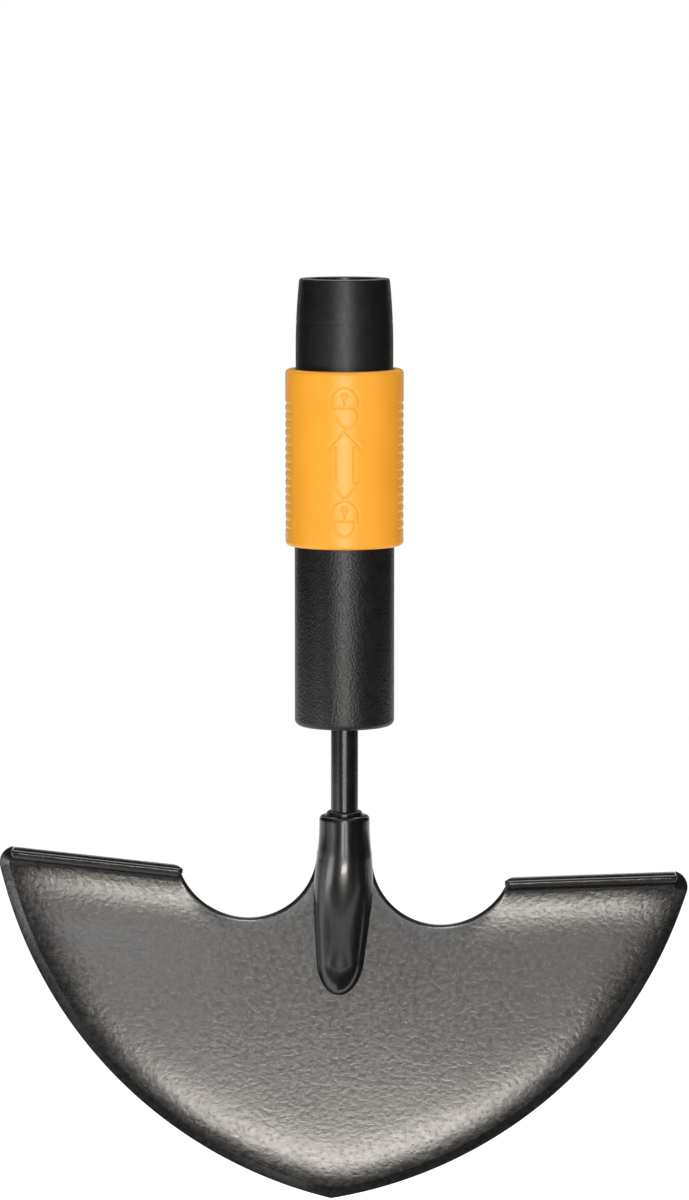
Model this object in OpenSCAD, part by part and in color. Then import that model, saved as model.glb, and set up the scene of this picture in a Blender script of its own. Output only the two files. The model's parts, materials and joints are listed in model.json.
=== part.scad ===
// Half moon edger head with a quick-release socket for a long handle.
// The origin is the centre of the socket's rim. +Z runs up out of the socket,
// the blade hangs below it, and the side with the treads faces -Y.

/* [Handle socket] */
// Diameter of the bore that takes the handle's spigot
bore_d = 25; // [22:0.5:25.5]
// Wall of the core tube
core_wall = 2; // [1.8:0.1:2.4]
// Radial relief of the bore below its guide stretch
bore_relief = 0.4; // [0.2:0.05:0.6]
// Length of spigot below the locking balls
spigot_tail = 26; // [20:1:34]
// Outer diameter of the mouth at its rim
mouth_top_d = 33; // [32:0.1:34]
// Outer diameter of the mouth where it meets the collar
mouth_low_d = 36.3; // [35.5:0.1:37]
// Length of the mouth's curved stretch
mouth_flare_l = 26; // [18:1:32]
// Length of mouth that shows above the collar
mouth_l = 33.5; // [32:0.5:42]
// Length of mouth hidden inside the collar
mouth_overlap = 11.5; // [10:0.5:14]

/* [Lock collar] */
// Outer diameter of the collar
collar_d = 44; // [43:0.1:48]
// Length of the collar
collar_l = 65.8; // [62:0.2:80]
// Rounding of the collar's outer edges
collar_edge_r = 1.6; // [0.8:0.1:2]
// Travel of the collar from locked to open
collar_travel = 8; // [6:0.5:9]
// Thickness of the inner flange that carries the spring
flange_t = 4; // [3:0.5:5]
// Number of grip ribs on each side
rib_count = 15; // [8:1:16]
// Spacing of the grip ribs
rib_pitch = 3.1; // [2:0.1:3.2]
// Width of the groove between two ribs
rib_groove_w = 1.3; // [0.8:0.1:1.8]
// Depth of the groove between two ribs
rib_groove_depth = 0.6; // [0.3:0.1:0.9]
// Distance from the collar's top to the first groove
rib_start = 12.8; // [8:0.2:16]
// Angle that each grip patch covers
rib_patch_angle = 54; // [30:1:80]
// Width of the sunk lock signs
sign_w = 11.4; // [8:0.2:14]
// Line width of the sunk lock signs
sign_line = 1.5; // [1:0.1:2]
// Depth of the sunk lock signs
sign_depth = 0.5; // [0.3:0.05:0.8]

/* [Lock mechanism] */
// Diameter of a locking ball
ball_d = 6.35; // [5.5:0.05:6.6]
// How far a locked ball stands into the bore
ball_lock = 1.5; // [1.2:0.05:1.6]
// Room left between an open ball and the spigot
ball_open_gap = 0.1; // [0.05:0.05:0.2]
// Wall left between the stop ring and a ball's pocket
ball_land = 1.4; // [1:0.1:2.5]
// Fitted length of the return spring
spring_l = 22; // [20:0.5:26]
// Mean diameter of the return spring
spring_d = 34; // [33.6:0.1:34.6]
// Wire diameter of the return spring
spring_wire_d = 1.6; // [1.2:0.1:1.8]
// Number of turns of the return spring
spring_turns = 6; // [4:1:6]
// Thickness of the spring washer
washer_t = 1; // [0.8:0.1:1.5]
// Thickness of the collar's stop ring
ring_t = 1.2; // [1:0.1:1.5]
// How far the stop ring stands out of the core tube
ring_proud = 1.4; // [1:0.1:1.5]
// Depth of the stop ring's groove
ring_seat = 0.6; // [0.4:0.1:0.8]
// Angle of the gap in the stop ring
ring_gap_angle = 30; // [15:1:60]

/* [Shank] */
// Outer diameter of the shank sleeve
sleeve_d = 37.2; // [36:0.1:37.3]
// Length of sleeve that shows below the collar
sleeve_show = 67.7; // [60:0.1:90]
// Rounding of the sleeve's lower edge
sleeve_edge_r = 2.3; // [1:0.1:3]
// Thickness of the sleeve's closed end
sleeve_floor = 7; // [4:0.5:9]
// Diameter of the cross pins
pin_d = 4; // [3:0.1:5]
// Solid end of the tang plug above the rod
plug_cap = 4; // [2:0.5:6]

/* [Tang] */
// Diameter of the rod
rod_d = 10.3; // [8:0.1:11]
// Length of rod between the sleeve and the tang socket
rod_show = 34; // [20:0.5:60]
// Depth of the rod in the tang socket
rod_seat = 36; // [30:0.5:38]
// Outer diameter of the tang socket
socket_d = 18.6; // [18:0.1:20]
// Length of the tang socket down to its toe
socket_l = 70; // [66:0.5:76]
// Rounding of the tang socket's upper edge
socket_edge_r = 1.6; // [0.8:0.1:2]
// Height of the tang socket above the blade's neck
neck_drop = 16; // [14:0.5:22]
// Leg of the weld round the rod
weld_leg = 1.8; // [1:0.1:2.2]

/* [Blade] */
// Height of the blade from its tip to its neck
blade_h = 133; // [110:1:150]
// Radius of each cutting edge
edge_r = 169; // [160:1:190]
// Distance of each cutting edge's centre beyond the middle line
edge_offset = 34; // [20:0.5:45]
// Thickness of the blade's sheet
sheet_t = 2.5; // [2:0.1:3]
// Width of the ground bevel
bevel_w = 3.8; // [2:0.1:6]
// Thickness left at the cutting edge
edge_land = 0.8; // [0.4:0.1:1.2]
// Rounding of the blade's outer corners
corner_r = 6.5; // [5:0.5:9]
// Distance from the rod's axis back to the blade's face
blade_setback = 6.2; // [6:0.1:7]
// Angle by which the blade is welded out of square
blade_roll = 2.2; // [0:0.1:4]
// Radius of the cut-out beside the neck
cutout_r = 25.8; // [20:0.2:27]
// Width of the neck between the cut-outs
neck_w = 20.8; // [20:0.2:26]

/* [Treads] */
// Reach of a tread in front of the blade's face
tread_depth = 13; // [8:0.5:18]
// Depth of a tread's inner end below the neck
tread_drop = 5.4; // [3:0.1:8]
// Angle at which the treads fall towards the middle
tread_fall = 4.2; // [0:0.1:8]
// Inner radius of the tread's bend
bend_r = 2; // [1:0.1:3]

/* [Hidden] */

// Named clearances, and one overrun for every cut
bond_gap = 0.05;
slide_gap = 0.35;
ball_gap = 0.2;
cut = 1;

// Colours
black_paint = [0.10, 0.10, 0.11];
black_plastic = [0.07, 0.07, 0.07];
black_anodised = [0.14, 0.14, 0.15];
collar_orange = [0.96, 0.60, 0.11];
plain_steel = [0.62, 0.63, 0.65];
grey_nylon = [0.35, 0.36, 0.37];

// Smoothness of small and large rounds, and of the tang socket's loft
$fn = 96;
edge_fn = 720;
loft_sides = 32;
loft_steps = 26;
coil_rings = 8;
coil_sides = 6;

// Radii
bore_r = bore_d / 2;
relief_r = bore_r + bore_relief;
core_r = bore_r + core_wall;
mouth_top_r = mouth_top_d / 2;
mouth_low_r = mouth_low_d / 2;
collar_r = collar_d / 2;
collar_bore_r = mouth_low_r + slide_gap;
flange_bore_r = core_r + slide_gap;
sleeve_r = sleeve_d / 2;
skirt_bore_r = sleeve_r + slide_gap;
ball_r = ball_d / 2;
rod_r = rod_d / 2;
socket_r = socket_d / 2;
neck_r = neck_w / 2;

// Heights of the coupling, stacked down from the rim
collar_top = -mouth_l;
collar_low = collar_top - collar_l;
mouth_low = collar_top - mouth_overlap;
washer_top = mouth_low - spring_l;
flange_top = washer_top - washer_t;
flange_low = flange_top - flange_t;
ring_low = flange_low - ring_t;
ball_z = ring_low - ball_land - ball_r - ball_gap;
plug_top = ball_z - spigot_tail;
sleeve_low = collar_low - sleeve_show;
core_low = sleeve_low + sleeve_floor;

// Ramp in the collar that carries the balls out as the collar rises
ball_locked_r = bore_r - ball_lock + ball_r;
ball_travel = ball_lock + ball_open_gap;
ramp_ratio = ball_travel / collar_travel;
ramp_angle = atan(ramp_ratio);
ramp_r = ball_locked_r + (ball_r + ball_gap) / cos(ramp_angle);
ramp_low = ball_z - collar_travel - ball_r;
// The sleeve ends where the ramp is as wide as the skirt
sleeve_top = ball_z - (skirt_bore_r - ramp_r) / ramp_ratio;
ball_angles = [45, 135, 225, 315];

// Cross pins, as shares of the plug's length
pin_shares = [0.3, 0.75];

// Tang and blade heights
socket_top = sleeve_low - rod_show;
rod_top = plug_top - plug_cap;
rod_low = socket_top - rod_seat;
neck_z = socket_top - neck_drop;
edge_rise = sqrt(pow(edge_r, 2) - pow(edge_offset, 2)) - blade_h;
edge_centre = [-edge_offset, edge_rise];
blade_back = blade_setback + sheet_t;
bevel_depth = sheet_t - edge_land;
cutout_x = neck_r + cutout_r;
bend_outer_r = bend_r + sheet_t;
tread_reach = tread_depth + sheet_t;

// Shares of the tang socket's length and radius that shape its loft
socket_straight_share = 0.2;
socket_wide_share = 0.43;
socket_end_share = 0.84;
socket_flare_share = 1.2;
socket_toe_share = 0.92;
socket_toe_front_share = 0.12;

// Shares of a lock sign's width
dome_share = 0.5;
sign_base_share = 0.2;
keyhole_share = 0.14;
shackle_share = 0.36;
shackle_leg_share = 0.16;
shackle_swing_angle = 28;
arrow_half_share = 1.1;
arrow_head_share = 0.56;
arrow_shaft_share = 0.62;

// Places of the three signs, as shares of the collar's length
open_sign_share = 0.17;
arrow_sign_share = 0.5;
closed_sign_share = 0.82;

// Reach of the blanks that the blade is trimmed from
blade_reach = 2 * edge_r;
// Rounds stand out by this where they meet the runs they join, so that the two cross
round_ease = 0.15;

echo(overall_length = blade_h - neck_z, ball_travel = ball_travel, ramp_ratio = ramp_ratio, ball_z = ball_z);

// Shared helpers

function mix(a, b, t) = a + (b - a) * t;
function clamp01(t) = min(1, max(0, t));
function ease(t) = clamp01(t) * clamp01(t) * (3 - 2 * clamp01(t));
function within(t, a, b) = clamp01((t - a) / (b - a));
function cap_round(t) = sqrt(max(0, 1 - t * t));

// Square from one corner to the other
module rect(low, high) {
  translate(low) square(high - low);
}

// Draws a flat shape upright, seen from -Y, with its back face at y
module upright(y) {
  translate([0, y, 0]) rotate([90, 0, 0]) children();
}

// Both halves of something mirrored about the middle plane
module both_sides() {
  children();
  mirror([1, 0, 0]) children();
}

// The blade's own frame: at the neck, rolled about the tang
module blade_frame() {
  translate([0, 0, neck_z]) rotate([0, blade_roll, 0]) children();
}

// Closed triangle mesh through rings of points that run the same way round
module ring_loft(rings) {
  sides = len(rings[0]);
  last = len(rings) - 1;
  points = [for (ring = rings) each ring];
  walls = [
    for (i = [0:last - 1], j = [0:sides - 1])
      let (k = (j + 1) % sides, a = i * sides, b = a + sides)
      each [[a + j, a + k, b + k], [a + j, b + k, b + j]]
  ];
  first_cap = [for (j = [1:sides - 2]) [0, j + 1, j]];
  last_cap = [for (j = [1:sides - 2]) [last * sides, last * sides + j, last * sides + j + 1]];
  polyhedron(points, concat(walls, first_cap, last_cap));
}

// Blade

// Height of the tread's top line at a distance from the middle line
function tread_line(x) = (x - cutout_x - cutout_r) * tan(tread_fall) - tread_drop;

// Point at a depth below the tread's top line and a radius from the cutting edge's centre
function below_tread(drop, radius) =
  let (
    from = [cutout_x, tread_line(cutout_x)] + drop * [sin(tread_fall), -cos(tread_fall)],
    along = [cos(tread_fall), sin(tread_fall)],
    rel = from - edge_centre,
    half_b = rel * along,
    c = rel * rel - pow(radius, 2)
  )
  from + along * (sqrt(half_b * half_b - c) - half_b);

// Where the tread starts and ends on its top line, and the square way up from that line
tread_up = [-sin(tread_fall), cos(tread_fall)];
tread_start = [cutout_x, tread_line(cutout_x)];
corner_centre = below_tread(corner_r, edge_r - corner_r);
tread_end = corner_centre + corner_r * tread_up;
tread_run = norm(tread_end - tread_start);

// What is cut away outside one rounded corner
module corner_cut() {
  q = corner_centre;
  up = 2 * corner_r * tread_up;
  out = 2 * corner_r * (q - edge_centre) / norm(q - edge_centre);
  difference() {
    polygon([q, q + up, q + up + out, q + out]);
    translate(q) circle(corner_r + round_ease);
  }
}

// Sheet and tread bands as flat outlines, before they are trimmed
module sheet_blank() {
  difference() {
    rect([-blade_reach, -blade_reach], [blade_reach, 0]);
    both_sides() polygon([
      tread_start,
      [blade_reach, tread_line(blade_reach)],
      [blade_reach, blade_reach],
      [cutout_x, blade_reach]
    ]);
  }
}

module band_blank() {
  low = -sheet_t * tread_up;
  polygon([tread_start, tread_end, tread_end + low, tread_start + low]);
}

// Carries a section along the tread: forward is negative, and its top back corner is at zero
module along_tread(run) {
  translate([tread_start.x, blade_back, tread_start.y])
    rotate([0, -tread_fall, 0]) rotate([90, 0, 90]) linear_extrude(run) children();
}

// Fillet inside the bend
module bend_fillet() {
  deep = -sheet_t - bend_r;
  difference() {
    rect([deep, deep], [-sheet_t / 2, -sheet_t / 2]);
    translate([deep, deep]) circle(bend_r + round_ease);
  }
}

// What is cut away outside the bend
module bend_cut() {
  difference() {
    rect([-bend_outer_r, -bend_outer_r], [cut, cut]);
    translate([-bend_outer_r, -bend_outer_r]) circle(bend_outer_r + round_ease);
  }
}

// What is cut away round the tread's front edge
module nose_cut() {
  middle = [sheet_t / 2 - tread_reach, -sheet_t / 2];
  difference() {
    rect([-tread_reach - cut, -sheet_t - cut], [middle.x, cut]);
    translate(middle) circle(sheet_t / 2 + round_ease);
  }
}

// Bent sheet before its outline is trimmed
module blade_blank() {
  difference() {
    union() {
      upright(blade_back) linear_extrude(sheet_t) sheet_blank();
      upright(blade_back) linear_extrude(tread_reach) both_sides() band_blank();
      both_sides() along_tread(tread_run - cut) bend_fillet();
    }
    both_sides() along_tread(tread_run + cut) {
      bend_cut();
      nose_cut();
    }
  }
}

module edge_circle() {
  translate(edge_centre) circle(edge_r, $fn = edge_fn);
}

// Outline that trims sheet and treads together
module blade_outline() {
  difference() {
    intersection() {
      edge_circle();
      mirror([1, 0, 0]) edge_circle();
    }
    both_sides() {
      translate([cutout_x, 0]) circle(cutout_r);
      corner_cut();
    }
  }
}

// What the bevel takes off one cutting edge's front, from the corner to past the tip
module bevel_cut() {
  bevel_end = below_tread(0, edge_r) - edge_centre;
  slope = bevel_w / bevel_depth;
  translate(edge_centre) rotate(-90)
    rotate_extrude(angle = 90 + atan2(bevel_end.y, bevel_end.x), $fn = edge_fn)
      polygon([
        [edge_r + cut, edge_land - cut / slope],
        [edge_r + cut, sheet_t + cut],
        [edge_r - bevel_w - cut * slope, sheet_t + cut]
      ]);
}

module blade() {
  color(black_paint) blade_frame() {
    difference() {
      intersection() {
        blade_blank();
        upright(blade_back + cut) linear_extrude(tread_reach + 2 * cut) blade_outline();
      }
      upright(blade_back) both_sides() bevel_cut();
    }
    upright(blade_back) linear_extrude(sheet_t) circle(neck_r);
  }
}

// Tang

// Half width of the tang socket at a share of its length
function socket_width(t) =
  t < socket_wide_share
    ? socket_r * mix(1, socket_flare_share, ease(within(t, socket_straight_share, socket_wide_share)))
    : socket_r * mix(socket_flare_share, socket_toe_share, within(t, socket_wide_share, socket_end_share))
      * cap_round(within(t, socket_end_share, 1));

// How far the socket's front lies from the rod's axis, negative behind it
function socket_front(t) =
  mix(
    socket_r * mix(1, socket_toe_front_share, within(t, socket_wide_share, socket_end_share)),
    -blade_setback,
    1 - cap_round(within(t, socket_end_share, 1))
  );

// Where the middle of the section lies, from the rod's axis back to the blade's face
function socket_middle(t) = blade_setback * ease(within(t, socket_straight_share, 1));

function socket_ring(z, width, front, middle) =
  let (lean = min(0, z - neck_z) * tan(blade_roll))
  [for (i = [0:loft_sides - 1]) let (a = 360 * i / loft_sides)
    [lean + width * cos(a), middle + (front + middle) * sin(a), z]];

// Rings of the rounded upper edge
function socket_edge_rings() = [
  for (a = [0:30:60])
    let (r = socket_r - socket_edge_r * (1 - sin(a)))
    socket_ring(socket_top - socket_edge_r * (1 - cos(a)), r, r, 0)
];

// Rings of the body and of the rounded toe, close together where the shape turns
function socket_body_rings() = [
  for (i = [0:loft_steps])
    let (
      first = socket_edge_r / socket_l,
      u = i / loft_steps,
      t = mix(first, 1, u < 0.5 ? u : 0.5 + 0.5 * sin(180 * (u - 0.5))),
      toe = i == loft_steps ? socket_edge_r : 0
    )
    socket_ring(
      socket_top - socket_l * t,
      max(toe, socket_width(t)),
      max(socket_front(t), toe - socket_middle(t)),
      socket_middle(t)
    )
];

// Room in the tang socket for the blade's neck and sheet
module blade_seat() {
  blade_frame() upright(blade_setback + socket_d) linear_extrude(socket_d) {
    circle(neck_r + bond_gap);
    rect([-socket_d, -blade_h], [socket_d, 0]);
  }
}

module tang_socket() {
  color(black_paint) difference() {
    ring_loft(concat(socket_edge_rings(), socket_body_rings()));
    blade_seat();
    translate([0, 0, rod_low - bond_gap]) cylinder(h = rod_seat + cut, r = rod_r + bond_gap);
  }
}

// Cross holes through the tang, at each pin's height
module pin_rows(r, l) {
  for (share = pin_shares)
    translate([-l / 2, 0, mix(plug_top, core_low, share)]) rotate([0, 90, 0]) cylinder(h = l, r = r);
}

module pin_holes() {
  pin_rows(pin_d / 2 + bond_gap, 2 * core_r + 2 * cut);
}

module tang_rod() {
  color(black_paint) difference() {
    translate([0, 0, rod_low]) cylinder(h = rod_top - rod_low, r = rod_r);
    pin_holes();
  }
}

module tang_weld() {
  color(black_paint) translate([0, 0, socket_top]) rotate_extrude()
    polygon([[rod_r + bond_gap, 0], [rod_r + bond_gap + weld_leg, 0], [rod_r + bond_gap, weld_leg]]);
}

module tang_plug() {
  color(grey_nylon) difference() {
    translate([0, 0, core_low]) cylinder(h = plug_top - core_low, r = relief_r - bond_gap);
    translate([0, 0, core_low - cut]) cylinder(h = rod_top - core_low + cut, r = rod_r + bond_gap);
    pin_holes();
  }
}

module tang_pins() {
  // The ends stay inside the core tube's round
  color(plain_steel) pin_rows(pin_d / 2, 2 * sqrt(pow(core_r, 2) - pow(pin_d / 2, 2)));
}

// Coupling

// Pocket that a ball slides out of, with a round seat that keeps it from falling in
module ball_pocket(angle) {
  rotate([0, 0, angle]) translate([ball_locked_r, 0, ball_z]) {
    sphere(ball_r + ball_gap);
    rotate([0, 90, 0]) cylinder(h = core_r, r = ball_r + ball_gap);
  }
}

module core_tube() {
  color(black_anodised) difference() {
    translate([0, 0, core_low]) cylinder(h = -core_low, r = core_r);
    translate([0, 0, flange_top]) cylinder(h = cut - flange_top, r = bore_r);
    translate([0, 0, core_low - cut]) cylinder(h = flange_top - core_low + cut, r = relief_r);
    translate([0, 0, ring_low - bond_gap]) difference() {
      cylinder(h = ring_t + 2 * bond_gap, r = core_r + cut);
      translate([0, 0, -cut]) cylinder(h = ring_t + 2 * cut, r = core_r - ring_seat);
    }
    for (angle = ball_angles) ball_pocket(angle);
    pin_holes();
  }
}

module stop_ring() {
  color(plain_steel) translate([0, 0, ring_low]) rotate([0, 0, ring_gap_angle / 2])
    rotate_extrude(angle = 360 - ring_gap_angle)
      rect([core_r - ring_seat + bond_gap, 0], [core_r + ring_proud, ring_t]);
}

module shank_sleeve() {
  color(black_plastic) rotate_extrude() {
    difference() {
      rect([rod_r + slide_gap, sleeve_low], [sleeve_r, sleeve_top]);
      rect([0, core_low], [core_r + bond_gap, sleeve_top + cut]);
      rect([sleeve_r - sleeve_edge_r, sleeve_low - cut], [sleeve_r + cut, sleeve_low + sleeve_edge_r]);
    }
    intersection() {
      translate([sleeve_r - sleeve_edge_r, sleeve_low + sleeve_edge_r]) circle(sleeve_edge_r);
      rect([sleeve_r - sleeve_edge_r, sleeve_low], [sleeve_r, sleeve_low + sleeve_edge_r]);
    }
  }
}

module socket_mouth() {
  swell = mouth_low_r - mouth_top_r;
  curve_r = (pow(mouth_flare_l, 2) + pow(swell, 2)) / (2 * swell);
  color(black_plastic) rotate_extrude() {
    rect([core_r + bond_gap, mouth_low], [mouth_low_r, -mouth_flare_l]);
    intersection() {
      rect([core_r + bond_gap, -mouth_flare_l], [mouth_low_r, 0]);
      translate([mouth_low_r - curve_r, -mouth_flare_l]) circle(curve_r, $fn = edge_fn);
    }
  }
}

// Lock collar

// Outer outline of the collar's section, with both edges rounded
module collar_outline() {
  flat_r = collar_r - collar_edge_r;
  rect([flange_bore_r, collar_low], [flat_r, collar_top]);
  rect([flat_r, collar_low + collar_edge_r], [collar_r, collar_top - collar_edge_r]);
  for (z = [collar_low + collar_edge_r, collar_top - collar_edge_r])
    translate([flat_r, z]) circle(collar_edge_r);
}

// Hollow inside the collar: spring room, ramp for the balls and skirt
module collar_hollow() {
  rect([0, flange_top], [collar_bore_r, collar_top + cut]);
  polygon([
    [0, flange_low],
    [ramp_r - (flange_low - ball_z) * ramp_ratio, flange_low],
    [ramp_r + (ball_z - ramp_low) * ramp_ratio, ramp_low],
    [0, ramp_low]
  ]);
  rect([0, collar_low - cut], [skirt_bore_r, ramp_low]);
}

// Grooves between the ribs of one grip patch
module grip_grooves() {
  rotate([0, 0, -rib_patch_angle / 2]) rotate_extrude(angle = rib_patch_angle)
    for (i = [0:rib_count])
      let (z = collar_top - rib_start - i * rib_pitch)
      rect([collar_r - rib_groove_depth, z - rib_groove_w], [collar_r + cut, z]);
}

// Padlock with its bow below, as a tool held blade up shows it
module padlock_sign(swing) {
  dome_r = sign_w * dome_share;
  base = sign_w * sign_base_share;
  bow_r = sign_w * shackle_share;
  leg = sign_w * shackle_leg_share;
  hole_r = sign_w * keyhole_share;
  difference() {
    union() {
      intersection() {
        circle(dome_r);
        rect([-dome_r, 0], [dome_r, dome_r]);
      }
      rect([-dome_r, -base], [dome_r, 0]);
    }
    translate([0, hole_r]) circle(hole_r);
    rect([-hole_r / 2, -hole_r], [hole_r / 2, hole_r]);
  }
  translate([bow_r - sign_line / 2, -base]) rotate(swing) translate([sign_line / 2 - bow_r, -leg]) {
    difference() {
      circle(bow_r);
      circle(bow_r - sign_line);
      rect([-bow_r - cut, 0], [bow_r + cut, bow_r + cut]);
    }
    for (x = [-bow_r, bow_r - sign_line]) rect([x, 0], [x + sign_line, leg]);
  }
}

// Arrow with a head at both ends
module arrow_sign() {
  half = sign_w * arrow_half_share;
  head = sign_w * arrow_head_share;
  shaft = sign_w * arrow_shaft_share / 2;
  polygon([
    [0, half], [head, half - head], [shaft, half - head],
    [shaft, head - half], [head, head - half], [0, -half],
    [-head, head - half], [-shaft, head - half],
    [-shaft, half - head], [-head, half - head]
  ]);
}

module signs() {
  upright(0) linear_extrude(collar_r + cut) {
    translate([0, collar_top - collar_l * open_sign_share]) padlock_sign(shackle_swing_angle);
    translate([0, collar_top - collar_l * arrow_sign_share]) arrow_sign();
    translate([0, collar_top - collar_l * closed_sign_share]) padlock_sign(0);
  }
}

module lock_collar() {
  color(collar_orange) difference() {
    rotate_extrude() difference() {
      collar_outline();
      collar_hollow();
    }
    both_sides() grip_grooves();
    intersection() {
      signs();
      translate([0, 0, collar_low]) difference() {
        cylinder(h = collar_l, r = collar_r + cut);
        translate([0, 0, -cut]) cylinder(h = collar_l + 2 * cut, r = collar_r - sign_depth);
      }
    }
  }
}

// Return spring, washer and balls

// The wire's middle line stays clear of both seats
spring_rise = spring_l - spring_wire_d - 2 * bond_gap;
function spring_point(turn) = [
  spring_d / 2 * cos(360 * turn),
  spring_d / 2 * sin(360 * turn),
  mouth_low - bond_gap - spring_wire_d / 2 - spring_rise * turn / spring_turns
];

// Ring of the wire, in the plane through the coil's axis
function spring_ring(turn) =
  let (p = spring_point(turn), out = [cos(360 * turn), sin(360 * turn), 0])
  [for (j = [0:coil_sides - 1]) let (a = 360 * j / coil_sides)
    p + spring_wire_d / 2 * (out * cos(a) - [0, 0, sin(a)])];

spring_steps = spring_turns * coil_rings;
spring_line = [for (i = [0:spring_steps]) spring_point(i / coil_rings)];
spring_gap = min([
  for (i = [0:spring_steps - coil_rings / 2], j = [i + coil_rings / 2:spring_steps])
    norm(spring_line[i] - spring_line[j]) - spring_wire_d
]);
echo(least_spring_gap = spring_gap);

module lock_spring() {
  color(plain_steel) ring_loft([for (i = [0:spring_steps]) spring_ring(i / coil_rings)]);
}

module spring_washer() {
  color(plain_steel) translate([0, 0, flange_top]) difference() {
    cylinder(h = washer_t, r = collar_bore_r - slide_gap);
    translate([0, 0, -cut]) cylinder(h = washer_t + 2 * cut, r = flange_bore_r);
  }
}

module lock_ball(angle) {
  color(plain_steel) rotate([0, 0, angle]) translate([ball_locked_r, 0, ball_z]) sphere(ball_r);
}

blade();
tang_socket();
tang_rod();
tang_weld();
tang_plug();
tang_pins();
core_tube();
shank_sleeve();
socket_mouth();
lock_collar();
lock_spring();
spring_washer();
stop_ring();
lock_ball(ball_angles[0]);  // lock_ball_1
lock_ball(ball_angles[1]);  // lock_ball_2
lock_ball(ball_angles[2]);  // lock_ball_3
lock_ball(ball_angles[3]);  // lock_ball_4
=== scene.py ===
"""Looks of a half moon edger head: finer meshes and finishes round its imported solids."""

import json
import math

import bmesh
import bpy
import numpy as np
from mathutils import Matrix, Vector, geometry


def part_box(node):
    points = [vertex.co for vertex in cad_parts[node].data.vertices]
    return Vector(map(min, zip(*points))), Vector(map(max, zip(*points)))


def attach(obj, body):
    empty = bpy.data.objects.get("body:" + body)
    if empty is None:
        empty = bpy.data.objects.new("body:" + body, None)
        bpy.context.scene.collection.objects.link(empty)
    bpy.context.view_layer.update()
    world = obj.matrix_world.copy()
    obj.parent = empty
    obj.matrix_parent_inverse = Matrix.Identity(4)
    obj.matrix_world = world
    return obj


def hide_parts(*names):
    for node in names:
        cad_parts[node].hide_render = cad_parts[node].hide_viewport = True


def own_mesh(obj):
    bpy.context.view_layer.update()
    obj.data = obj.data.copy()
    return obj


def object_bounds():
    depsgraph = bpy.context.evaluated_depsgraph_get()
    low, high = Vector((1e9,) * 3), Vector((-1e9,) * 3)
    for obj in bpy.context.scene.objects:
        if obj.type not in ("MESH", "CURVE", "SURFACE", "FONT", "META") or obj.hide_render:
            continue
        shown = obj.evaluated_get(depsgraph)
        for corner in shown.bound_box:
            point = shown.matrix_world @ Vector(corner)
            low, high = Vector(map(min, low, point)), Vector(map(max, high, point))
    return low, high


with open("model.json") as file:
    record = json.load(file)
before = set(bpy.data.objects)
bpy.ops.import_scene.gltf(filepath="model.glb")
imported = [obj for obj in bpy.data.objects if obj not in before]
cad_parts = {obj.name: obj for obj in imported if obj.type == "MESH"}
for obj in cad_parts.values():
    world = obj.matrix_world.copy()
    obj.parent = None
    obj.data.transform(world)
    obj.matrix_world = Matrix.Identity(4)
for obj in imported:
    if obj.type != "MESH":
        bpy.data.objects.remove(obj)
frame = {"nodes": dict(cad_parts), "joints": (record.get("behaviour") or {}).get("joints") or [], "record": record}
cad_bounds = [list(corner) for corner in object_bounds()]
record = frame["record"]

# The script's unit is the metre, and sizes are written in millimetres
MM = 0.001
TURN = 2 * math.pi

# Places and radii that the solids give
MOUTH_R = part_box("socket_mouth")[1].x
MOUTH_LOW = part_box("socket_mouth")[0].z
COLLAR_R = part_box("lock_collar")[1].x
COLLAR_LOW, COLLAR_TOP = (corner.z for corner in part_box("lock_collar"))
SLEEVE_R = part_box("shank_sleeve")[1].x
SLEEVE_LOW, SLEEVE_TOP = (corner.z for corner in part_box("shank_sleeve"))
CORE_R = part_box("core_tube")[1].x
CORE_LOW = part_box("core_tube")[0].z
FLANGE_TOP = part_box("spring_washer")[0].z
FLANGE_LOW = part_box("stop_ring")[1].z
RING_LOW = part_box("stop_ring")[0].z
ROD_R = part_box("tang_rod")[1].x
ROD_LOW, ROD_TOP = (corner.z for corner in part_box("tang_rod"))
WELD_LOW, WELD_TOP = (corner.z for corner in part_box("tang_weld"))
WELD_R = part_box("tang_weld")[1].x
BOSS_LOW, BOSS_TOP = (corner.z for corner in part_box("tang_socket"))
BORE_R = record["mounts"][0]["dims"]["r_mm"] * MM
PIN_LOW, PIN_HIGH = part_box("tang_pins")
COLLAR_TRAVEL = frame["joints"][0]["range_m"][1]

# Clearances, as in the solids
BOND_GAP = 0.05 * MM
SLIDE_GAP = 0.35 * MM

# Sides of round pieces, and the angle in degrees from which an edge stays sharp
RING_SIDES = 128
BAR_SIDES = 96
HOLE_SIDES = 48
SHARP_ANGLE = 35

# Numbers of the locking balls
BALLS = range(1, 5)


# Meshes

def shade_smooth(mesh, sharp_angle=SHARP_ANGLE):
    """Smooth shading, apart from edges sharper than an angle in degrees."""
    mesh.polygons.foreach_set("use_smooth", [True] * len(mesh.polygons))
    mesh.set_sharp_from_angle(angle=math.radians(sharp_angle))


def piece_from(name, points, faces, sharp_angle=SHARP_ANGLE):
    """New object from points and faces, shaded smooth up to an angle, with its faces turned outward."""
    mesh = bpy.data.meshes.new(name)
    mesh.from_pydata([tuple(p) for p in points], [], faces)
    work = bmesh.new()
    work.from_mesh(mesh)
    bmesh.ops.recalc_face_normals(work, faces=work.faces)
    work.to_mesh(mesh)
    work.free()
    shade_smooth(mesh, sharp_angle)
    piece = bpy.data.objects.new(name, mesh)
    bpy.context.scene.collection.objects.link(piece)
    return piece


def arc(centre, radius, start, end, steps):
    """Points on an arc, between two angles in degrees."""
    angles = np.radians(np.linspace(start, end, steps + 1))
    return [Vector((centre[0] + radius * math.cos(a), centre[1] + radius * math.sin(a))) for a in angles]


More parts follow.
